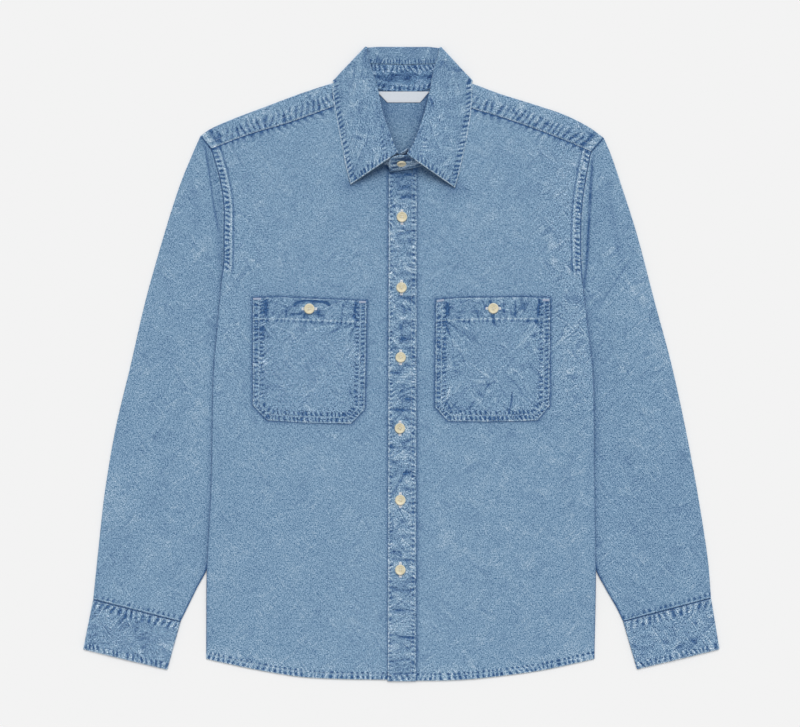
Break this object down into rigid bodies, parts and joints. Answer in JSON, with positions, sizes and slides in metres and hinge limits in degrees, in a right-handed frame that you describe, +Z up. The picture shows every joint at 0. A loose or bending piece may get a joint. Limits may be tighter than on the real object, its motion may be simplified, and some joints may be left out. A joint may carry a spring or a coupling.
{
  "type": "chambray shirt",
  "caption": "Long-sleeved button-up chambray work shirt with a turned-down collar and patch chest pockets, laid flat with its front up.",
  "frame": {"origin": "centre of the shirt's outline on the surface it lies on", "axes": "+X to the wearer's left, +Y from hem to collar, +Z up through the cloth, out of the front"},
  "size_m": [0.7945, 0.7939, 0.0282],
  "materials": {
    "chambray": "washed plain weave, matte",
    "chambray_inside": "washed plain weave, matte, a little deeper",
    "label_tape": "woven tape, satin",
    "button_resin": "polished cream resin"
  },
  "bodies": {
    "root": {"back": "chambray", "yoke": "chambray", "front_right": "chambray", "front_left": "chambray", "placket": "chambray", "pocket_right": "chambray", "pocket_left": "chambray", "sleeve_right": "chambray", "sleeve_left": "chambray", "cuff_right": "chambray", "cuff_left": "chambray", "collar_fall": "chambray", "collar_stand": "chambray_inside", "neck_label": "label_tape", "button_front_1": "button_resin", "button_front_2": "button_resin", "button_front_3": "button_resin", "button_front_4": "button_resin", "button_front_5": "button_resin", "button_front_6": "button_resin", "button_pocket_right": "button_resin", "button_pocket_left": "button_resin", "button_collar": "button_resin"}
  },
  "joints": []
}
